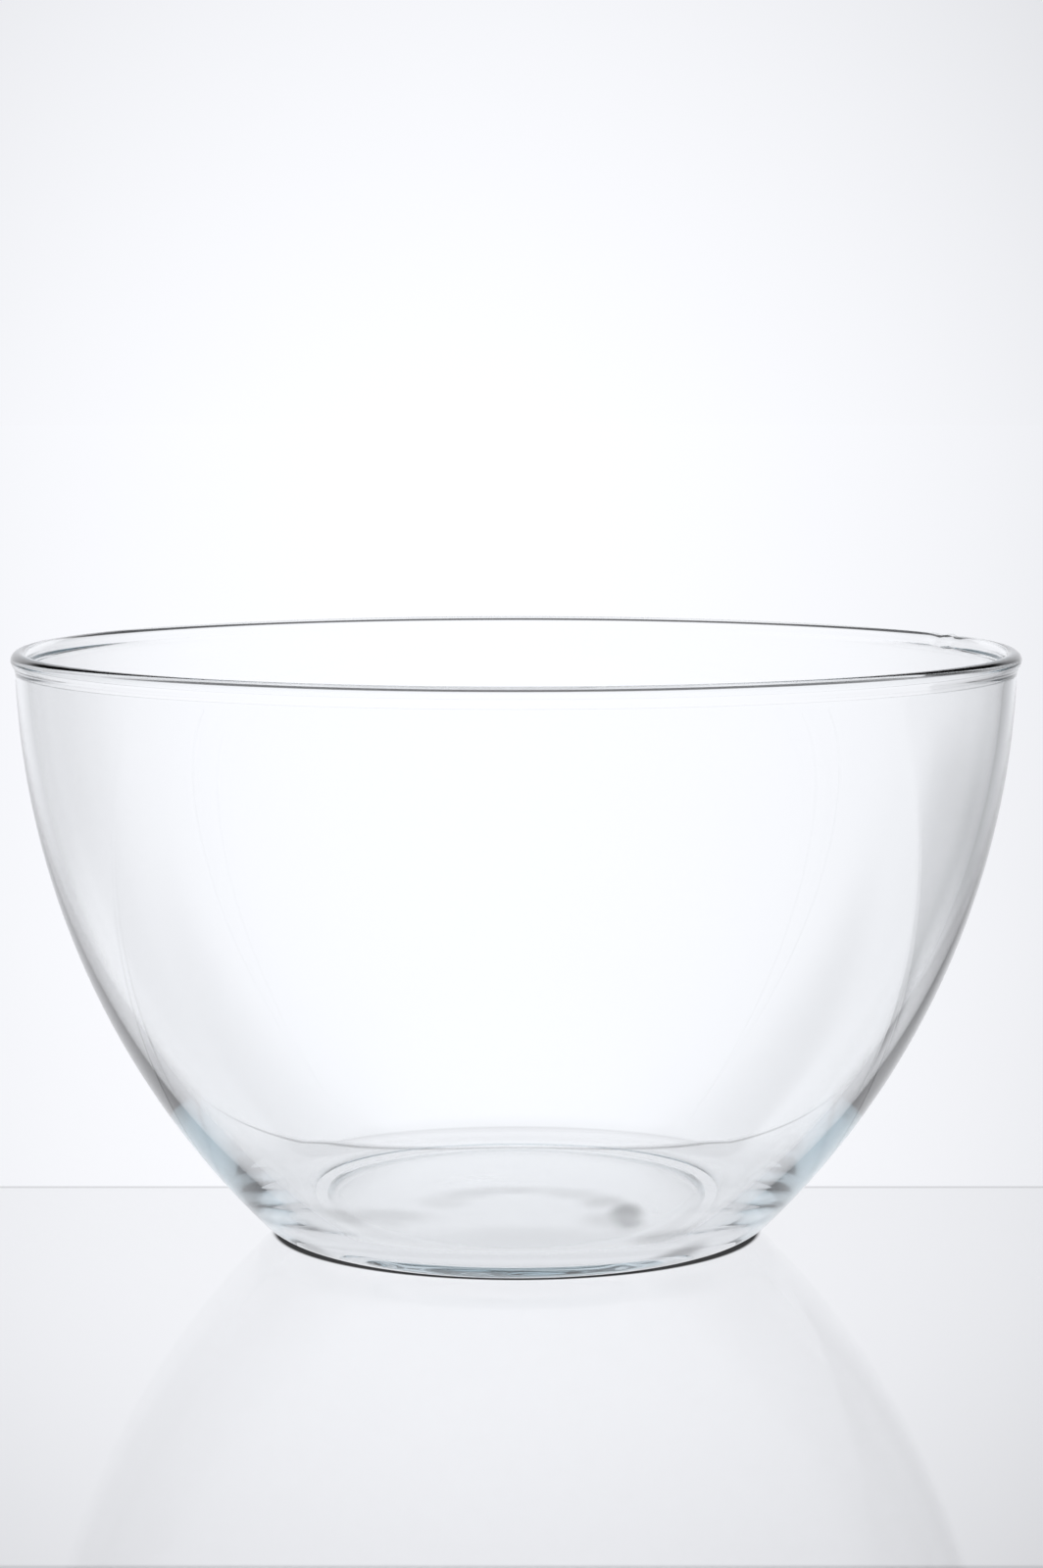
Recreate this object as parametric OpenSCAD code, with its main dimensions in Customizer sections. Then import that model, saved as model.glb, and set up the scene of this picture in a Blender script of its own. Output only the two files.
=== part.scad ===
// Clear glass bowl in one piece of glass: a deep rounded side on a small flat foot,
// a fire-polished bead round the rim, and a kicked-up base that stands on a ring.
// Millimetres, +Z up, the foot on z = 0 and the axis of the bowl on the Z axis.

/* [Bowl] */
// Outside diameter over the rim bead
rim_d = 240; // [200:1:300]
// Height from the table to the crown of the rim
bowl_h = 141.2; // [115:0.2:170]
// Lean of the side at the rim, away from upright, in degrees
wall_lean = 0.85; // [0.2:0.05:8]

/* [Wall] */
// Thickness of the glass just below the rim bead
wall_t = 3.2; // [2.4:0.1:3.8]
// Thickness of the glass at its lowest point inside, above the foot ring
base_t = 5.8; // [3.4:0.1:7]

/* [Rim bead] */
// Diameter of the rounded bead, which stands proud of the side only outwards
bead_d = 4.2; // [4:0.1:6]
// Radius of the hollow where the bead runs into the outside of the side
bead_neck_r = 4; // [1.5:0.1:8]

/* [Foot] */
// Outside diameter of the flat ring that rests on the table
foot_d = 103.6; // [80:0.4:120]
// Width of the flat ring that rests on the table
foot_ring_w = 3.9; // [3:0.1:10]
// Radius of the heel between the foot and the side, outside
heel_r = 14.8; // [8:0.2:22]

/* [Kick-up] */
// Rise of the hollow underneath, at the middle of the base
kick_h = 2.3; // [1:0.1:4.5]
// Radius that rolls the foot ring into the hollow underneath
kick_edge_r = 9.7; // [2:0.1:12]

/* [Floor inside] */
// Diameter of the circle where the floor inside is lowest
floor_d = 90.7; // [70:0.1:104]
// Radius of the corner between the floor and the side, inside
floor_corner_r = 20.2; // [12:0.1:28]
// Rise of the floor inside, at its middle
floor_crown_h = 2.3; // [0.6:0.1:2.5]

/* [Hidden] */
$fn = 180;

glass_colour = [0.80, 0.90, 0.92, 0.35];

bead_r = bead_d / 2;
rim_r = rim_d / 2;
bead_z = bowl_h - bead_r;
bead_centre_r = rim_r - bead_r;

// The bead lies flush with the side inside, so the side's two faces start from it
inside_top_r = rim_r - bead_d;
outside_top_r = inside_top_r + wall_t;

foot_r = foot_d / 2;
floor_r = floor_d / 2;
kick_r = foot_r - foot_ring_w;

// Overrun of every cut past the glass
cut_over = bead_d;

// Lap by which a corner's circle crosses the line or arc that it would only touch
corner_lap = 0.004;

// Radius of the arc that leaves the rim at the given lean and rolls into a corner
// circle: top_r and top_z are its upper end, corner_r and corner_z the circle's centre
function side_radius(top_r, top_z, corner_r, corner_z, roll_r) =
    let (across = top_r - corner_r, up = top_z - corner_z)
    (across * across + up * up - roll_r * roll_r)
        / (2 * (across * cos(wall_lean) - up * sin(wall_lean) - roll_r));

// Centre of that arc
function side_centre(top_r, top_z, radius) =
    [top_r - radius * cos(wall_lean), top_z + radius * sin(wall_lean)];

// Radius of a dome on the axis that rises rise_h above the lowest point of a corner
// circle, whose centre lies out_r from the axis, and touches that circle
function dome_radius(out_r, rise_h, roll_r) =
    (out_r * out_r + pow(roll_r - rise_h, 2) - roll_r * roll_r) / (2 * rise_h);

// Point where the dome and the corner circle touch, the low point being at low_z
function dome_touch(out_r, rise_h, roll_r, low_z) =
    let (dome_r = dome_radius(out_r, rise_h, roll_r), middle_z = low_z + rise_h - dome_r)
    [0, middle_z] + ([out_r, low_z + roll_r] - [0, middle_z]) * dome_r / (dome_r + roll_r);

// Point where a side's arc and its corner circle touch
function side_touch(centre, radius, corner, roll_r) =
    centre + (corner - centre) * radius / norm(corner - centre);

// Centre of a circle that touches two others from outside, below the line from a to b
function neck_centre(a, a_r, b, b_r, roll_r) =
    let (
        gap = norm(b - a),
        unit = (b - a) / gap,
        reach = a_r + roll_r,
        along = (gap * gap + reach * reach - pow(b_r + roll_r, 2)) / (2 * gap),
        away = sqrt(reach * reach - along * along)
    )
    a + unit * along + [-unit[1], unit[0]] * away;

// The part of the plane from inner_r to outer_r and from low_z to high_z
module span(inner_r, outer_r, low_z, high_z) {
    translate([inner_r, low_z])
        square([outer_r - inner_r, high_z - low_z]);
}

// A disc whose outline starts low on its inner side, which for the bead is inside the glass
module disc(centre, radius) {
    translate(centre)
        rotate(225)
            circle(r = radius, $fn = 720);
}

// Half section of a rounded vessel, solid to the axis: the middle, the corner, the side
module vessel_section(top_r, low_r, low_z, roll_r, high_z) {
    corner = [low_r, low_z + roll_r];
    radius = side_radius(top_r, bead_z, corner[0], corner[1], roll_r);
    centre = side_centre(top_r, bead_z, radius);
    touch = side_touch(centre, radius, corner, roll_r);
    span(0, low_r, low_z, corner[1]);
    intersection() {
        disc(corner, roll_r + corner_lap);
        span(0, rim_r, low_z, corner[1]);
    }
    intersection() {
        disc(centre, radius);
        span(0, rim_r, touch[1], high_z);
    }
}

// Half section under a shallow dome whose edge rolls down to low_z: the hollow below
// the base, and the floor inside
module dome_section(out_r, rise_h, roll_r, low_z, bottom_z) {
    touch = dome_touch(out_r, rise_h, roll_r, low_z);
    dome_r = dome_radius(out_r, rise_h, roll_r);
    corner = [out_r, low_z + roll_r];
    intersection() {
        disc([0, low_z + rise_h - dome_r], dome_r);
        span(0, out_r, bottom_z, low_z + rise_h + cut_over);
    }
    difference() {
        polygon([[0, bottom_z], [out_r, bottom_z], corner, touch, [0, touch[1]]]);
        disc(corner, roll_r + corner_lap);
    }
}

// Half section of the glass below the bead
module wall_section() {
    difference() {
        vessel_section(outside_top_r, foot_r, 0, heel_r, bead_z);
        difference() {
            vessel_section(inside_top_r, floor_r, base_t, floor_corner_r, bead_z + cut_over);
            dome_section(floor_r, floor_crown_h, floor_corner_r, base_t, 0);
        }
        dome_section(kick_r, kick_h, kick_edge_r, 0, -cut_over);
    }
}

// Half section of the rim bead, with the hollow neck that runs it into the side outside
module bead_section() {
    bead = [bead_centre_r, bead_z];
    radius = side_radius(outside_top_r, bead_z, foot_r, heel_r, heel_r);
    side = side_centre(outside_top_r, bead_z, radius);
    neck = neck_centre(bead, bead_r, side, radius, bead_neck_r);
    side_point = side + (neck - side) * radius / (radius + bead_neck_r);
    difference() {
        union() {
            disc(bead, bead_r);
            polygon([bead, neck, side_point, [inside_top_r + wall_t / 2, side_point[1]]]);
        }
        disc(neck, bead_neck_r + corner_lap);
    }
}

module bowl() {
    color(glass_colour) {
        rotate_extrude()
            wall_section();
        rotate_extrude()
            bead_section();
    }
}

bowl();
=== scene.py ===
"""Clear glass bowl: the glass, its finish, and the plain studio that it stands in."""

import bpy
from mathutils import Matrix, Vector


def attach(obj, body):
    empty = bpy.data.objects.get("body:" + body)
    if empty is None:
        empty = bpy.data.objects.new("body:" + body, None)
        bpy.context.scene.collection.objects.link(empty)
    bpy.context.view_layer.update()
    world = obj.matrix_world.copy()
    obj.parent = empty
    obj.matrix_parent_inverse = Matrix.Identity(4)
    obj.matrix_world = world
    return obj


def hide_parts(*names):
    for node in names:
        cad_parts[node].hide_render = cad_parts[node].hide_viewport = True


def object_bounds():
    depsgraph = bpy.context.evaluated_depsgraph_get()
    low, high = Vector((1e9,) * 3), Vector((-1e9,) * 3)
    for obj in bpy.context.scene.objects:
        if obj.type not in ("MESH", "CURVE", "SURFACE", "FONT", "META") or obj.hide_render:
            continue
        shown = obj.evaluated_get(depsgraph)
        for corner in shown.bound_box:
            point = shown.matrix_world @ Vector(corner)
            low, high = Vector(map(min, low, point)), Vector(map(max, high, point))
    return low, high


bl_info = {
    "name": "Glass bowl",
    "version": (1, 0, 0),
    "blender": (4, 5, 0),
    "location": "3D View > Sidebar > Glass bowl",
    "description": "Builds a clear glass bowl and the studio that it stands in",
    "category": "Object",
}

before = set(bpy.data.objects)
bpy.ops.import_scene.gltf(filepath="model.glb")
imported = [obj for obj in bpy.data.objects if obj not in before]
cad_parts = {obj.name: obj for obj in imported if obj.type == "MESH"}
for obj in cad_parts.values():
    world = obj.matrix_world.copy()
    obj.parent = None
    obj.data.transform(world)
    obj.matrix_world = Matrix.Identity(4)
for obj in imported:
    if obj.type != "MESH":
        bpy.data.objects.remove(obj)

import math

import bmesh
import bpy
from bpy.props import FloatProperty, IntProperty, PointerProperty, StringProperty
from mathutils import Vector

CAD_LOW, CAD_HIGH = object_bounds()
MM = 0.001

# Light is followed this often through and off the glass
GLASS_BOUNCES, MIRROR_BOUNCES = 48, 32

# The photograph's frame, and the rows where the edges of the acrylic sheet cross it
IMAGE_LONG_PX = 1600
IMAGE_MIDDLE_ROW = 800
SHEET_BACK_ROW = 1211.4
SHEET_FRONT_ROW = 1599.5


# ---------------------------------------------------------------- small helpers

def linear(code):
    """The linear colour of an sRGB hex code, with an alpha of one."""
    parts = [int(code[i:i + 2], 16) / 255 for i in (0, 2, 4)]
    return tuple(c / 12.92 if c <= 0.04045 else ((c + 0.055) / 1.055) ** 2.4 for c in parts) + (1.0,)


def length(name, description, default_mm):
    """A length property, its default given in millimetres."""
    return FloatProperty(name=name, description=description, default=default_mm * MM, min=0.0,
                         precision=5, unit="LENGTH", subtype="DISTANCE")


def share(name, description, default):
    """A plain share from zero to one."""
    return FloatProperty(name=name, description=description, default=default, min=0.0, max=1.0,
                         subtype="FACTOR")


def colour(name, description, code):
    """A colour property, its default given as an sRGB hex code."""
    return StringProperty(name=name, description=description, default=code)


def add_node(tree, kind, settings=None, links=None):
    """Adds a node: settings name its own options or its inputs, links feed its inputs."""
    node = tree.nodes.new(kind)
    for key, value in (settings or {}).items():
        if isinstance(key, str) and hasattr(node, key):
            setattr(node, key, value)
        else:
            node.inputs[key].default_value = value
    for key, source in (links or {}).items():
        tree.links.new(source, node.inputs[key])
    return node


def maths(tree, operation, *terms, clamp=False):
    """The result of one Math node, whose terms are numbers or other nodes' outputs."""
    settings = {"operation": operation, "use_clamp": clamp}
    settings.update({i: t for i, t in enumerate(terms) if isinstance(t, (int, float))})
    links = {i: t for i, t in enumerate(terms) if not isinstance(t, (int, float))}
    return add_node(tree, "ShaderNodeMath", settings, links).outputs[0]


def ramp(tree, value, low, high, at_low=0.0, at_high=1.0):
    """A smooth step of value: at_low below low, at_high above high."""
    settings = {"interpolation_type": "SMOOTHSTEP", "From Min": low, "From Max": high,
                "To Min": at_low, "To Max": at_high}
    return add_node(tree, "ShaderNodeMapRange", settings, {"Value": value}).outputs["Result"]


def product(tree, first, *others):
    """The product of several factors."""
    for other in others:
        first = maths(tree, "MULTIPLY", first, other)
    return first


def blend(tree, factor, first, second):
    """A number between two, each a number or a node's output."""
    settings, links = {}, {0: factor}
    for key, value in ((2, first), (3, second)):
        (settings if isinstance(value, (int, float)) else links)[key] = value
    return add_node(tree, "ShaderNodeMix", settings, links).outputs[0]


def blend_colours(tree, factor, first, second):
    """A colour between two, each an RGBA tuple or a node's output."""
    settings = {"data_type": "RGBA"}
    links = {}
    for key, value in (("Factor", factor), (6, first), (7, second)):
        if isinstance(value, (int, float, tuple)):
            settings[0 if key == "Factor" else key] = value
        else:
            links[0 if key == "Factor" else key] = value
    return add_node(tree, "ShaderNodeMix", settings, links).outputs[2]


def new_object(name, bm, smooth=True):
    """An object made from a bmesh, which is freed."""
    mesh = bpy.data.meshes.new(name)
    bm.to_mesh(mesh)
    bm.free()
    for face in mesh.polygons:
        face.use_smooth = smooth
    piece = bpy.data.objects.new(name, mesh)
    bpy.context.scene.collection.objects.link(piece)
    return piece


# ---------------------------------------------------------------- the bowl's half section

def arc(centre, radius, start, end, step):
    """Points on an arc from one angle to another, both ends included, at most a step apart."""
    count = max(6, math.ceil(abs(end - start) * radius / step), math.ceil(abs(end - start) / math.radians(5)))
    return [(centre[0] + radius * math.cos(a), centre[1] + radius * math.sin(a))
            for a in (start + (end - start) * i / count for i in range(count + 1))]


def bearing(centre, point):
    """The angle at which a point lies from a centre."""
    return math.atan2(point[1] - centre[1], point[0] - centre[0])


def side_circle(top, corner, roll_r, lean):
    """Centre and radius of the side's arc, which leaves the top at its lean and rolls into a corner circle."""
    across, up = top[0] - corner[0], top[1] - corner[1]
    spare = across * math.cos(lean) - up * math.sin(lean) - roll_r
    radius = (across ** 2 + up ** 2 - roll_r ** 2) / (2 * spare)
    return (top[0] - radius * math.cos(lean), top[1] + radius * math.sin(lean)), radius


def dome_circle(out_r, rise_h, roll_r, low_z):
    """Centre and radius of a shallow dome on the axis, which touches the rolled edge round it."""
    radius = (out_r ** 2 + (roll_r - rise_h) ** 2 - roll_r ** 2) / (2 * rise_h)
    return (0.0, low_z + rise_h - radius), radius


def neck_circle(bead, bead_r, side, side_r, neck_r):
    """Centre of the hollow that touches the bead and the side from outside."""
    gap = math.dist(side, bead)
    unit = ((side[0] - bead[0]) / gap, (side[1] - bead[1]) / gap)
    reach = bead_r + neck_r
    along = (gap ** 2 + reach ** 2 - (side_r + neck_r) ** 2) / (2 * gap)
    away = math.sqrt(reach ** 2 - along ** 2)
    return bead[0] + unit[0] * along - unit[1] * away, bead[1] + unit[1] * along + unit[0] * away


def half_section(shape):
    """The outline of the glass from the middle of its underside, round the rim, to the middle of its floor."""
    step, fine = shape.section_step, shape.section_step / 4
    rim_r, rim_z = CAD_HIGH[0], CAD_HIGH[2]
    bead_r = shape.bead_d / 2
    bead = (rim_r - bead_r, rim_z - bead_r)
    inside_top = (rim_r - shape.bead_d, bead[1])
    outside_top = (inside_top[0] + shape.wall_t, bead[1])
    foot_r, floor_r = shape.foot_d / 2, shape.floor_d / 2
    heel = (foot_r, shape.heel_r)
    corner = (floor_r, shape.base_t + shape.floor_corner_r)
    kick_r = foot_r - shape.foot_ring_w
    kick_edge = (kick_r, shape.kick_edge_r)
    down, up = -math.pi / 2, math.pi / 2

    kick, kick_dome_r = dome_circle(kick_r, shape.kick_h, shape.kick_edge_r, 0.0)
    turn = bearing(kick, kick_edge)
    under = arc(kick, kick_dome_r, up, turn, step)
    under += arc(kick_edge, shape.kick_edge_r, turn - math.pi, down, fine)[1:]

    outside, outside_r = side_circle(outside_top, heel, shape.heel_r, shape.wall_lean)
    heel_end = bearing(outside, heel)
    neck = neck_circle(bead, bead_r, outside, outside_r, shape.bead_neck_r)
    ring = [(kick_r + (foot_r - kick_r) * i / 6, 0.0) for i in range(1, 6)]
    outer = arc(heel, shape.heel_r, down, heel_end, fine)
    outer += arc(outside, outside_r, heel_end, bearing(outside, neck), step)[1:]

    neck_start, neck_end = bearing(neck, outside) % (2 * math.pi), bearing(neck, bead)
    lip = arc(neck, shape.bead_neck_r, neck_start, neck_end, fine)[1:]
    lip += arc(bead, bead_r, neck_end - math.pi, math.pi, fine / 2)[1:]

    inside, inside_r = side_circle(inside_top, corner, shape.floor_corner_r, shape.wall_lean)
    corner_end = bearing(inside, corner)
    inner = arc(inside, inside_r, -shape.wall_lean, corner_end, step)[1:]
    dome, dome_r = dome_circle(floor_r, shape.floor_crown_h, shape.floor_corner_r, shape.base_t)
    crown = bearing(dome, corner)
    inner += arc(corner, shape.floor_corner_r, corner_end, crown - math.pi, fine)[1:]
    inner += arc(dome, dome_r, crown, up, step)[1:]
    return under + ring + outer + lip + inner


def revolved(section, segments):
    """A closed bmesh made by turning a half section, both ends of which lie on the axis."""
    bm = bmesh.new()
    first = bm.verts.new((0.0, 0.0, section[0][1]))
    last = bm.verts.new((0.0, 0.0, section[-1][1]))
    turns = [(math.cos(2 * math.pi * k / segments), math.sin(2 * math.pi * k / segments))
             for k in range(segments)]
    rings = [[bm.verts.new((r * c, r * s, z)) for c, s in turns] for r, z in section[1:-1]]
    for k in range(segments):
        after = (k + 1) % segments
        bm.faces.new((first, rings[0][after], rings[0][k]))
        bm.faces.new((last, rings[-1][k], rings[-1][after]))
        for low, high in zip(rings, rings[1:]):
            bm.faces.new((low[k], low[after], high[after], high[k]))
    return bm


# Marks that the glass keeps from its making in the floor inside: where each lies, in millimetres from the
# axis, its half widths, and its height
FLOOR_MARKS = ((27.0, -24.0, 5.0, 7.0, 0.28), (-33.0, -27.0, 9.0, 4.0, 0.12), (34.0, -42.0, 7.0, 4.5, 0.12),
               (-8.0, 2.0, 10.0, 3.0, 0.08))

# The knot where the rim's melted ring closed: its bearing from +X in degrees, then along the rim, in
# millimetres, the half widths of the thin stretch and of the knot, and how much each changes the bead
RIM_KNOT = (23.0, 5.0, 1.2, -0.16, 0.5)

# Share of the floor's radius over which its marks fade out, and share of the base's thickness above which
# a point belongs to the floor; shares of the bead's radius that reach all of the bead, that lie low enough
# on it to stay as they are, and over which its marks fade in
FLOOR_FADE, FLOOR_FROM = 0.12, 0.75
BEAD_REACH, BEAD_LOW, BEAD_FADE = 1.1, -0.6, 0.4


def mark_height(x, y, marks):
    """Height of the marks at a place, every length in metres."""
    total = 0.0
    for cx, cy, half_x, half_y, height in marks:
        across, deep = (x / MM - cx) / half_x, (y / MM - cy) / half_y
        total += height * MM * math.exp(-across * across - deep * deep)
    return total


def mark_floor(bm, shape):
    """Presses the shallow marks into the floor inside."""
    edge = shape.floor_d / 2
    for vert in bm.verts:
        away = math.hypot(vert.co.x, vert.co.y)
        if away < edge and vert.co.z > shape.base_t * FLOOR_FROM:
            fade = min(1.0, (edge - away) / (FLOOR_FADE * edge))
            vert.co.z += fade * mark_height(vert.co.x, vert.co.y, FLOOR_MARKS)


def mark_rim(bm, shape):
    """Thins the rim bead over a short stretch, with a small knot in the middle of it."""
    bearing_deg, thin_w, knot_w, thinner, thicker = RIM_KNOT
    bead_r = shape.bead_d / 2
    ring_r, ring_z = CAD_HIGH[0] - bead_r, CAD_HIGH[2] - bead_r
    for vert in bm.verts:
        away = math.hypot(vert.co.x, vert.co.y)
        out, up = away - ring_r, vert.co.z - ring_z
        if math.hypot(out, up) < bead_r * BEAD_REACH and up > BEAD_LOW * bead_r:
            along = (math.atan2(vert.co.y, vert.co.x) - math.radians(bearing_deg)) * away / MM
            swell = (thinner * math.exp(-(along / thin_w) ** 2)
                     + thicker * math.exp(-(along / knot_w) ** 2))
            fade = min(1.0, (up / bead_r - BEAD_LOW) / BEAD_FADE)
            vert.co.z += up * swell * fade
            vert.co.x += vert.co.x / away * out * swell * fade
            vert.co.y += vert.co.y / away * out * swell * fade


# ---------------------------------------------------------------- materials

def clear_glass(finish):
    """Clear soda-lime glass, blown and fire polished.

    Its surface is as smooth as a liquid's, so it shows only as bent and mirrored light, and the faint
    blue-green of the iron in it gathers where the eye looks along the glass, as at the heel."""
    material = bpy.data.materials.new("clear soda-lime glass, fire polished")
    material.use_nodes = True
    tree = material.node_tree
    tree.nodes.clear()
    out = add_node(tree, "ShaderNodeOutputMaterial")
    surface = add_node(tree, "ShaderNodeBsdfPrincipled", {
        "Base Color": linear("ffffff"), "Roughness": 0.0, "IOR": finish.ior, "Transmission Weight": 1.0})
    volume = add_node(tree, "ShaderNodeVolumeAbsorption", {
        "Color": linear(finish.depth_colour), "Density": finish.depth_density})
    tree.links.new(surface.outputs["BSDF"], out.inputs["Surface"])
    tree.links.new(volume.outputs["Volume"], out.inputs["Volume"])
    return material


# Painted shade on the sheet under the bowl: uneven soft patches that stand in for the shade a base that isn't
# quite even throws.
# Only the glass sees it: where each patch lies, in millimetres from the axis, its half widths and its depth
PAINTED_SHADE_SPOTS = ((-18.0, -4.0, 6.0, 5.0, 0.28), (-12.0, 3.0, 6.0, 4.0, 0.34), (-4.0, 6.5, 7.0, 3.2, 0.34),
               (5.0, 6.5, 7.0, 3.2, 0.28), (14.0, 3.0, 6.0, 4.0, 0.34), (21.0, -4.0, 5.0, 5.0, 0.5),
               (26.5, -14.0, 3.4, 7.0, 0.95), (22.0, -18.0, 6.0, 5.0, 0.3), (-31.0, -16.0, 10.0, 4.5, 0.36),
               (-43.0, -21.0, 7.0, 5.0, 0.4), (36.0, -34.0, 8.0, 5.0, 0.5), (2.0, -27.0, 18.0, 4.5, 0.18))

# How far out from its own middle a patch of painted shade starts to fade, and where it ends, in half widths
PAINTED_SHADE_FADE = (0.3, 1.6)

# Distances in metres over which the sheet changes: from its own tone to the plain one far out, from the sheet
# to the backdrop far behind, from the painted shade on the sheet under the bowl to the open sheet, where its
# mirror image ends, where the painted contact shadow ends at the back, how soft the back edge is, and how deep
# behind it the backdrop stays dimmer, and by how much
FAR_SHEET, FAR_BEHIND, UNDER_BOWL_PAINTED_SHADE = (0.35, 0.9), (0.2, 0.6), (0.068, 0.09)
MIRROR_ENDS, CONTACT_SHADOW_ENDS = (0.35, 0.6), (-0.012, 0.004)
SEAM_SOFT, SEAM_REACH, SEAM_DROP = 0.0003, 0.5, 0.012
NEAREST_POOL = 0.3

# Radii in metres of the rings of the sheet's mesh, and its sides
FLOOR_RINGS, FLOOR_SIDES = (0.4, 2.0, 15.0), 64


def reach(tree, x, y):
    """Length of a level vector."""
    flat = add_node(tree, "ShaderNodeCombineXYZ", {"Z": 0.0}, {"X": x, "Y": y})
    size = add_node(tree, "ShaderNodeVectorMath", {"operation": "LENGTH"}, {0: flat.outputs[0]})
    return size.outputs["Value"]


def inverse(tree, value):
    """One minus a value."""
    return maths(tree, "SUBTRACT", 1.0, value)


def acrylic_sheet(studio):
    """White acrylic sheet, extruded and polished.

    A pale white with a painted pool of light on it, lit through its thickness, that mirrors the bowl faintly at
    a low angle.
    It shows a thin grey line at its sawn edges, a painted contact shadow where the heel meets it, and painted
    uneven shade under the bowl."""
    material = bpy.data.materials.new("white acrylic sheet, polished")
    material.use_nodes = True
    tree = material.node_tree
    tree.nodes.clear()
    out = add_node(tree, "ShaderNodeOutputMaterial")
    place = add_node(tree, "ShaderNodeSeparateXYZ", None, {
        0: add_node(tree, "ShaderNodeNewGeometry").outputs["Position"]})
    across, deep = place.outputs["X"], place.outputs["Y"]
    camera_ray = add_node(tree, "ShaderNodeLightPath").outputs["Is Camera Ray"]
    away = reach(tree, across, deep)
    back, front = sheet_edge(SHEET_BACK_ROW), sheet_edge(SHEET_FRONT_ROW)
    beside = ramp(tree, maths(tree, "ABSOLUTE", across),
                  studio.seam_half_w, 2 * studio.seam_half_w, 1.0, 0.0)

    # Painted pool of light: the sheet is palest at its back edge and darker forwards and sideways, and the
    # backdrop behind that edge is paler still
    forward = maths(tree, "MAXIMUM", maths(tree, "SUBTRACT", back, deep), 0.0)
    near = maths(tree, "SUBTRACT", studio.sheet_level, maths(tree, "MINIMUM", maths(
        tree, "MULTIPLY", maths(tree, "POWER", forward, 2.0), studio.sheet_fall), studio.sheet_fall_limit))
    sheet = blend(tree, ramp(tree, away, *FAR_SHEET), near, studio.plain_sheet)
    behind = product(tree, ramp(tree, deep, back, back + SEAM_SOFT), beside)
    beyond = ramp(tree, deep, back, back + SEAM_REACH,
                  studio.backdrop_level - SEAM_DROP, studio.backdrop_level)
    tone = blend(tree, behind, sheet, beyond)
    tone = blend(tree, ramp(tree, deep, *FAR_BEHIND), tone, beyond)
    spread = maths(tree, "DIVIDE", across, maths(
        tree, "MAXIMUM", maths(tree, "ADD", deep, studio.pool_reach), NEAREST_POOL))
    tone = maths(tree, "SUBTRACT", tone, pool_drop(tree, spread, studio))
    for edge in (back, front):
        offset = maths(tree, "ABSOLUTE", maths(tree, "SUBTRACT", deep, edge))
        line = product(tree, ramp(tree, offset, 0.0, studio.edge_w, studio.edge_depth, 0.0), beside)
        tone = product(tree, tone, inverse(tree, line))

    # Painted contact shadow: the narrow dark line where the heel nearly touches the sheet, an oval's front
    # half, as the camera sees it
    squeezed = reach(tree, maths(tree, "MULTIPLY", across, studio.contact_shadow_squeeze), deep)
    line_r, line_w = studio.contact_shadow_r, studio.contact_shadow_w
    painted_contact_shadow = product(
        tree, ramp(tree, squeezed, line_r + line_w / 2, line_r + line_w, studio.contact_shadow_depth, 0.0),
        ramp(tree, squeezed, line_r - 2 * line_w, line_r - line_w), ramp(tree, deep, *CONTACT_SHADOW_ENDS, 1.0, 0.0))
    tone = product(tree, tone, inverse(tree, painted_contact_shadow))

    # What the glass sees: the sheet up to its back edge, with painted shade under the bowl and patches of
    # painted shade, and the studio behind and below that edge
    glass_tone = ramp(tree, away, *UNDER_BOWL_PAINTED_SHADE, studio.painted_shade_under_bowl, 1.0)
    # Patches of painted shade on the sheet, seen only through the glass
    for cx, cy, half_x, half_y, depth in PAINTED_SHADE_SPOTS:
        out_x = maths(tree, "MULTIPLY", maths(tree, "SUBTRACT", across, cx * MM), 1 / (half_x * MM))
        out_y = maths(tree, "MULTIPLY", maths(tree, "SUBTRACT", deep, cy * MM), 1 / (half_y * MM))
        painted_spot = ramp(tree, reach(tree, out_x, out_y), *PAINTED_SHADE_FADE, 1.0 - depth, 1.0)
        glass_tone = product(tree, glass_tone, painted_spot)
    from_back = maths(tree, "ABSOLUTE", maths(tree, "SUBTRACT", deep, back))
    back_line = ramp(tree, from_back, 0.0, studio.edge_w, 1.0 - studio.edge_in_glass, 1.0)
    glass_tone = product(tree, glass_tone, back_line)
    tone = blend(tree, camera_ray, glass_tone, tone)

    glow = add_node(tree, "ShaderNodeEmission", {"Color": linear(studio.tint)}, {
        "Strength": maths(tree, "MULTIPLY", tone, studio.tint_gain)})
    matt = add_node(tree, "ShaderNodeBsdfDiffuse", None, {
        "Color": blend_colours(tree, tone, linear("000000"), linear(studio.tint))})
    body = add_node(tree, "ShaderNodeMixShader", {0: studio.sheet_shade}, {
        1: glow.outputs[0], 2: matt.outputs[0]})
    gloss = add_node(tree, "ShaderNodeBsdfGlossy", {"Roughness": studio.sheet_roughness})
    fresnel = add_node(tree, "ShaderNodeFresnel", {"IOR": studio.sheet_ior})
    mirrored = product(tree, fresnel.outputs[0], ramp(tree, away, *MIRROR_ENDS, studio.sheet_gloss, 0.0),
                       ramp(tree, deep, back, back + SEAM_SOFT, 1.0, 0.0), inverse(tree, painted_contact_shadow))
    polished = add_node(tree, "ShaderNodeMixShader", None, {
        0: mirrored, 1: body.outputs[0], 2: gloss.outputs[0]})
    open_air = add_node(tree, "ShaderNodeBsdfTransparent")
    hole = product(tree, ramp(tree, deep, back + studio.edge_w, back + 2 * studio.edge_w),
                   inverse(tree, camera_ray))
    cut = add_node(tree, "ShaderNodeMixShader", None, {
        0: hole, 1: polished.outputs[0], 2: open_air.outputs[0]})
    tree.links.new(cut.outputs[0], out.inputs["Surface"])
    return material


# ---------------------------------------------------------------- studio

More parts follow.
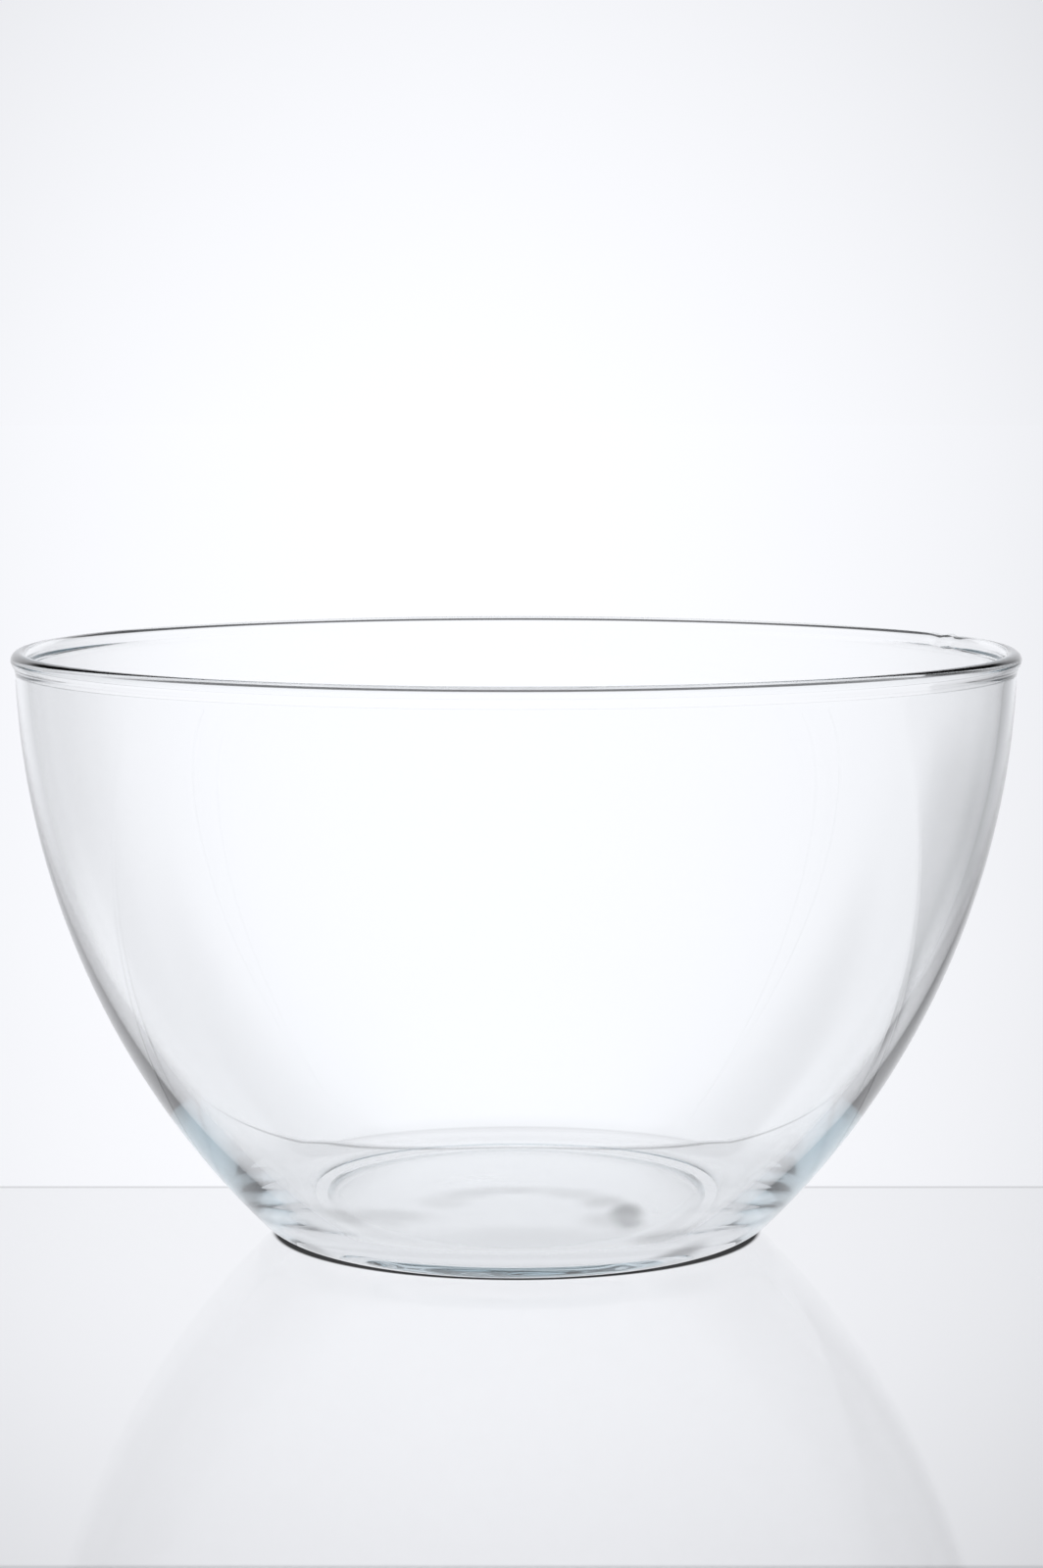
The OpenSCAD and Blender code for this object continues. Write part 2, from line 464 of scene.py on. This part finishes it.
# Brightness round the horizon, by degrees to the right of straight behind the bowl: soft tent walls at the
# sides and at the back, a backdrop behind the bowl, and the dim room in the gaps beside it
SIDE_LEVELS = ((-180, 1.0), (-130, 1.0), (-95, 0.98), (-75, 0.88), (-60, 0.74), (-45, 0.63), (-34, 0.64),
               (-24, 0.98), (-10, 1.02), (10, 1.02), (18, 0.95), (25, 0.62), (34, 0.42), (50, 0.42), (65, 0.64),
               (95, 0.92), (130, 1.0), (180, 1.0))


# Where the studio's other regions lie, in degrees, every edge soft. The dim room starts this far from straight
# behind the bowl, and lies between two soft edges of rise and within a turn; then the tent's roof, the studio's
# floor, the dark gap behind the sheet and the dark card: low edge, high edge and softness
DIM_ASIDE, DIM_FROM, DIM_TO, DIM_TURN = (26, 31), (11, 19), (48, 62), (-75, 75, 20)
ROOF_FROM, GROUND_TO = (50, 65), (-24, -14)
GAP_RISE, GAP_TURN = (-41.5, -23, 4.5), (-28, 70, 11)
CARD_RISE, CARD_TURN = (-52, -6, 9), (32, 75, 12)

# How directly ahead the pool of light shows in the glass, as a cosine, and its share there; the least forward
# part of a direction that slopes are measured by, in the glass and by the camera; and how far below level the
# backdrop's brightest part lies, as a slope
POOL_AHEAD, POOL_IN_GLASS = (0.75, 0.98), 0.7
LEAST_AHEAD, LEAST_AHEAD_SEEN = 0.2, 0.01
BRIGHTEST_BELOW = 0.096


def pool_drop(tree, spread, studio):
    """How much the pool of light behind the bowl falls off sideways, up to a limit."""
    off = maths(tree, "ADD", spread, studio.pool_offset)
    squared = maths(tree, "POWER", maths(tree, "ABSOLUTE", off), 2.0)
    return maths(tree, "MINIMUM", maths(tree, "MULTIPLY", squared, studio.pool_fall), studio.pool_limit)


def turned(tree, value, edge, at_low=0.0, at_high=1.0):
    """A soft step over an edge, whose two ends are angles in degrees."""
    return ramp(tree, value, math.radians(edge[0]), math.radians(edge[1]), at_low, at_high)


def between(tree, value, region):
    """One between two angles in degrees, zero past them, with soft ends inside."""
    low, high, soft = region
    return product(tree, turned(tree, value, (low, low + soft)),
                   turned(tree, value, (high - soft, high), 1.0, 0.0))


def studio_level(tree, direction, studio):
    """Brightness of the studio in every direction, as the glass sees it."""
    parts = add_node(tree, "ShaderNodeSeparateXYZ", None, {0: direction})
    turn = maths(tree, "ARCTAN2", parts.outputs["X"], parts.outputs["Y"])
    rise = maths(tree, "ARCSINE", parts.outputs["Z"])
    aside = maths(tree, "ARCCOSINE", parts.outputs["Y"])
    table = add_node(tree, "ShaderNodeValToRGB", None, {0: maths(
        tree, "MULTIPLY_ADD", turn, 0.5 / math.pi, 0.5)})
    stops = table.color_ramp.elements
    for i, (degrees, level) in enumerate(SIDE_LEVELS):
        place = degrees / 360 + 0.5
        stop = stops[i] if i < 2 else stops.new(place)
        stop.position = place
        stop.color = (level / studio.level_top,) * 3 + (1.0,)
    spread = maths(tree, "DIVIDE", parts.outputs["X"], maths(
        tree, "MAXIMUM", parts.outputs["Y"], LEAST_AHEAD))
    drop = product(tree, pool_drop(tree, spread, studio),
                   ramp(tree, parts.outputs["Y"], *POOL_AHEAD, 0.0, POOL_IN_GLASS))
    sides = product(tree, table.outputs["Color"], studio.level_top, inverse(tree, drop))

    # The dim room over and beside the backdrop, the bright roof of the tent, and the pale studio floor
    dim = product(tree, turned(tree, aside, DIM_ASIDE), turned(tree, rise, DIM_FROM),
                  turned(tree, rise, DIM_TO, 1.0, 0.0), between(tree, turn, DIM_TURN))
    level = blend(tree, dim, sides, studio.room_level)
    level = blend(tree, turned(tree, rise, ROOF_FROM), level, studio.roof_level)
    level = blend(tree, turned(tree, rise, GROUND_TO, 1.0, 0.0), level, studio.ground_level)

    # The dark gap under the backdrop, behind the sheet, and the dark card low on the right
    gap = product(tree, between(tree, rise, GAP_RISE), between(tree, turn, GAP_TURN))
    card = product(tree, between(tree, rise, CARD_RISE), between(tree, turn, CARD_TURN))
    return blend(tree, maths(tree, "ADD", gap, card, clamp=True), level, studio.gap_level)


def sheet_edge(row):
    """Where a line across the sheet lies so that the camera sees it on a row of the photograph."""
    view = bpy.context.scene.camera_view
    below = view.tilt + math.atan((row - IMAGE_MIDDLE_ROW) / IMAGE_LONG_PX * view.sensor / view.lens)
    return view.height / math.tan(below) - view.distance


class BowlShape(bpy.types.PropertyGroup):
    """Sizes of the glass; its width and height come from the CAD model."""

    wall_lean: FloatProperty(name="Wall lean", description="Lean of the side at the rim",
                             default=math.radians(0.85), unit="ROTATION", subtype="ANGLE")
    wall_t: length("Wall thickness", "Thickness of the glass just below the rim bead", 3.2)
    base_t: length("Base thickness", "Thickness of the glass at its lowest point inside", 5.8)
    bead_d: length("Bead diameter", "Diameter of the rounded rim bead", 4.2)
    bead_neck_r: length("Bead neck radius", "Hollow where the bead runs into the outside", 4.0)
    foot_d: length("Foot diameter", "Outside diameter of the flat ring under the bowl", 103.6)
    foot_ring_w: length("Foot ring width", "Width of the flat ring under the bowl", 3.9)
    heel_r: length("Heel radius", "Radius between the foot and the side, outside", 14.8)
    kick_h: length("Kick-up height", "Rise of the hollow underneath", 2.3)
    kick_edge_r: length("Kick-up edge radius", "Radius that rolls the foot ring into the hollow", 9.7)
    floor_d: length("Floor diameter", "Circle where the floor inside is lowest", 90.7)
    floor_corner_r: length("Floor corner radius", "Radius between the floor and the side, inside", 20.2)
    floor_crown_h: length("Floor crown height", "Rise of the floor inside at its middle", 2.3)
    section_step: length("Section step", "Longest step along the section", 1.2)
    segments: IntProperty(name="Segments", description="Steps round the bowl", default=288, min=24)


class GlassFinish(bpy.types.PropertyGroup):
    """Optical values of the glass."""

    ior: FloatProperty(name="IOR", description="Index of refraction of soda-lime glass", default=1.51)
    depth_colour: colour("Depth colour", "Colour that light keeps on its way through the glass", "b4cbd3")
    depth_density: FloatProperty(name="Depth density", description="Absorption per metre of glass", default=7.0)


class StudioLook(bpy.types.PropertyGroup):
    """Tones of the backdrop and of the sheet that the bowl stands on."""

    tint: colour("Tint", "Tint of the backdrop, of the sheet and of the studio's light", "fafbff")
    tint_gain: FloatProperty(name="Tint gain", description="Makes up for the light that the tint takes",
                             default=1.046)
    backdrop_level: FloatProperty(name="Backdrop level", description="Brightness of the middle of the backdrop",
                                  default=1.027)
    backdrop_fall: FloatProperty(name="Backdrop fall", description="How fast the backdrop falls off upwards",
                                 default=2.95)
    pool_offset: FloatProperty(name="Pool offset", default=0.0175,
                               description="How far left the pool of light lies, as a slope")
    pool_fall: FloatProperty(name="Pool fall", description="How fast the pool of light falls off sideways",
                             default=6.07)
    pool_limit: share("Pool limit", "Most that the pool of light falls off", 0.15)
    pool_reach: length("Pool reach", "Where the pool of light narrows to, in front of the bowl", 915.6)
    sheet_level: share("Sheet level", "Brightness of the sheet at its back edge", 1.0)
    sheet_fall: FloatProperty(name="Sheet fall", description="How fast the sheet falls off forwards",
                              default=1.75)
    sheet_fall_limit: share("Sheet fall limit", "The most that the sheet darkens towards its front", 0.19)
    plain_sheet: share("Plain sheet", "Brightness of the sheet far from the bowl", 0.95)
    # Painted shade: the sheet under the bowl is darker as the glass sees it
    painted_shade_under_bowl: share("Sheet in glass", "Brightness of the sheet under the bowl", 0.84)
    seam_half_w: length("Seam half width", "Half of the sheet's width", 250)
    edge_w: length("Sheet line width", "Half width of the line at the sheet's edge", 2.2)
    edge_depth: share("Sheet line depth", "How much darker the line is than the sheet", 0.28)
    edge_in_glass: share("Sheet line in glass", "How much darker the line is, seen through the bowl", 0.5)
    # Painted contact shadow: a dark line painted on the sheet where the heel meets it
    contact_shadow_r: length("Contact line radius",
                      "Radius of the dark line where the heel meets the sheet, in front", 53.6)
    contact_shadow_w: length("Contact line width", "Width of the dark line where the heel meets the sheet", 2.5)
    contact_shadow_squeeze: share("Contact line squeeze", "Depth of the line's oval over its width", 0.94)
    contact_shadow_depth: share("Contact depth", "How dark the line where the heel meets the sheet is", 0.96)
    sheet_shade: share("Sheet shade", "Share of the sheet's tone that takes shadows", 0.08)
    sheet_ior: FloatProperty(name="Sheet IOR", description="Index of refraction of acrylic", default=1.45)
    sheet_gloss: share("Sheet gloss", "Share of the mirror image that the sheet keeps", 1.0)
    sheet_roughness: share("Sheet roughness", "Roughness of the polished sheet", 0.03)
    level_top: FloatProperty(name="Top level", description="Brightest level round the horizon", default=1.1)
    room_level: share("Room level", "Brightness of the room over and beside the backdrop", 0.02)
    roof_level: FloatProperty(name="Roof level", description="Brightness of the tent's roof", default=1.1)
    ground_level: share("Ground level", "Brightness of the studio floor round the sheet", 0.95)
    gap_level: share("Gap level", "Brightness of the gap under the backdrop and of the dark card", 0.06)
    plain_level: FloatProperty(name="Plain level", description="Level of the soft light on matt surfaces",
                               default=1.0)


class CameraView(bpy.types.PropertyGroup):
    """Where the photograph was taken from."""

    distance: length("Distance", "From the camera to the bowl's axis, level", 915.6)
    height: length("Height", "Height of the lens above the sheet", 205.84)
    aside: length("Aside", "How far right of the bowl's axis the camera stands", 1.26)
    tilt: FloatProperty(name="Tilt", description="How far the camera looks down",
                        default=math.radians(6.0861), unit="ROTATION", subtype="ANGLE")
    lens: FloatProperty(name="Lens", description="Focal length", default=88.05, subtype="DISTANCE_CAMERA")
    sensor: FloatProperty(name="Sensor", description="Long side of the sensor", default=36.0,
                          subtype="DISTANCE_CAMERA")


class GLASSBOWL_OT_bowl(bpy.types.Operator):
    """Builds the bowl from its half section and gives it its glass"""

    bl_idname = "glassbowl.bowl"
    bl_label = "Glass bowl"

    def execute(self, context):
        shape = context.scene.bowl_shape
        bm = revolved(half_section(shape), shape.segments)
        mark_floor(bm, shape)
        mark_rim(bm, shape)
        bowl = new_object("glass_bowl", bm)
        bowl.data.materials.append(clear_glass(context.scene.glass_finish))
        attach(bowl, "root")
        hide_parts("bowl")
        return {"FINISHED"}


class GLASSBOWL_OT_studio(bpy.types.Operator):
    """Lays the acrylic sheet and sets the backdrop and its light"""

    bl_idname = "glassbowl.studio"
    bl_label = "Studio"

    def execute(self, context):
        scene, studio = context.scene, context.scene.studio_look
        bm = bmesh.new()
        rings = [[bm.verts.new((r * math.cos(a), r * math.sin(a), 0.0))
                  for a in (2 * math.pi * k / FLOOR_SIDES for k in range(FLOOR_SIDES))]
                 for r in FLOOR_RINGS]
        bm.faces.new(rings[0])
        for low, high in zip(rings, rings[1:]):
            for k in range(FLOOR_SIDES):
                after = (k + 1) % FLOOR_SIDES
                bm.faces.new((low[k], high[k], high[after], low[after]))
        sheet = new_object("acrylic_sheet", bm, smooth=False)
        sheet.data.materials.append(acrylic_sheet(studio))

        world = bpy.data.worlds.new("white tent with a dim gap round the backdrop")
        scene.world = world
        world.use_nodes = True
        tree = world.node_tree
        tree.nodes.clear()
        light_path = add_node(tree, "ShaderNodeLightPath")
        direction = add_node(tree, "ShaderNodeTexCoord").outputs["Generated"]
        parts = add_node(tree, "ShaderNodeSeparateXYZ", None, {0: direction})
        level = studio_level(tree, direction, studio)
        glass_sees = add_node(tree, "ShaderNodeBackground", {"Color": linear(studio.tint)}, {
            "Strength": maths(tree, "MULTIPLY", level, studio.tint_gain)})

        # The camera sees a plain backdrop with a pool of light on it, and not the studio's darker parts
        height = maths(tree, "ABSOLUTE", maths(tree, "ADD", parts.outputs["Z"], BRIGHTEST_BELOW))
        lower = maths(tree, "MINIMUM", maths(tree, "MULTIPLY", maths(tree, "POWER", height, 2.0),
                                             studio.backdrop_fall), studio.pool_limit)
        spread = maths(tree, "DIVIDE", parts.outputs["X"], maths(
            tree, "MAXIMUM", parts.outputs["Y"], LEAST_AHEAD_SEEN))
        plain = maths(tree, "SUBTRACT", maths(tree, "SUBTRACT", studio.backdrop_level, lower),
                      pool_drop(tree, spread, studio))
        camera_sees = add_node(tree, "ShaderNodeBackground", {"Color": linear(studio.tint)}, {
            "Strength": maths(tree, "MULTIPLY", plain, studio.tint_gain)})
        matt_sees = add_node(tree, "ShaderNodeBackground", {"Strength": studio.plain_level})
        first = add_node(tree, "ShaderNodeMixShader", None, {
            0: light_path.outputs["Is Camera Ray"], 1: glass_sees.outputs[0], 2: camera_sees.outputs[0]})
        second = add_node(tree, "ShaderNodeMixShader", None, {
            0: maths(tree, "GREATER_THAN", light_path.outputs["Diffuse Depth"], 0.5),
            1: first.outputs[0], 2: matt_sees.outputs[0]})
        add_node(tree, "ShaderNodeOutputWorld", None, {"Surface": second.outputs[0]})
        return {"FINISHED"}


class GLASSBOWL_OT_camera(bpy.types.Operator):
    """Stands the camera where the photograph was taken"""

    bl_idname = "glassbowl.camera"
    bl_label = "Camera"

    def execute(self, context):
        view = context.scene.camera_view
        data = bpy.data.cameras.new("camera")
        data.lens, data.sensor_width, data.sensor_fit = view.lens, view.sensor, "AUTO"
        camera = bpy.data.objects.new("camera", data)
        context.scene.collection.objects.link(camera)
        camera.location = Vector((view.aside, -view.distance, view.height))
        camera.rotation_euler = (math.pi / 2 - view.tilt, 0.0, 0.0)
        context.scene.camera = camera
        return {"FINISHED"}


class GLASSBOWL_PT_panel(bpy.types.Panel):
    """Lists the steps that build the scene"""

    bl_idname = "GLASSBOWL_PT_panel"
    bl_label = "Glass bowl"
    bl_space_type = "VIEW_3D"
    bl_region_type = "UI"
    bl_category = "Glass bowl"

    def draw(self, context):
        for operator in (GLASSBOWL_OT_camera, GLASSBOWL_OT_studio, GLASSBOWL_OT_bowl):
            self.layout.operator(operator.bl_idname)


GROUPS = {"bowl_shape": BowlShape, "glass_finish": GlassFinish, "studio_look": StudioLook,
          "camera_view": CameraView}
OPERATORS = (GLASSBOWL_OT_camera, GLASSBOWL_OT_studio, GLASSBOWL_OT_bowl)


def register():
    """Registers the settings, the steps and the panel."""
    for name, group in GROUPS.items():
        bpy.utils.register_class(group)
        setattr(bpy.types.Scene, name, PointerProperty(type=group))
    for cls in OPERATORS + (GLASSBOWL_PT_panel,):
        bpy.utils.register_class(cls)


def unregister():
    """Takes back what register did."""
    for cls in (GLASSBOWL_PT_panel,) + OPERATORS[::-1]:
        bpy.utils.unregister_class(cls)
    for name, group in GROUPS.items():
        delattr(bpy.types.Scene, name)
        bpy.utils.unregister_class(group)


def main():
    """Builds the whole scene."""
    register()
    scene = bpy.context.scene
    scene.view_settings.view_transform = "Standard"
    scene.cycles.max_bounces = scene.cycles.transmission_bounces = GLASS_BOUNCES
    scene.cycles.glossy_bounces = MIRROR_BOUNCES
    for step in ("camera", "studio", "bowl"):
        getattr(bpy.ops.glassbowl, step)()


if __name__ == "__main__":
    main()
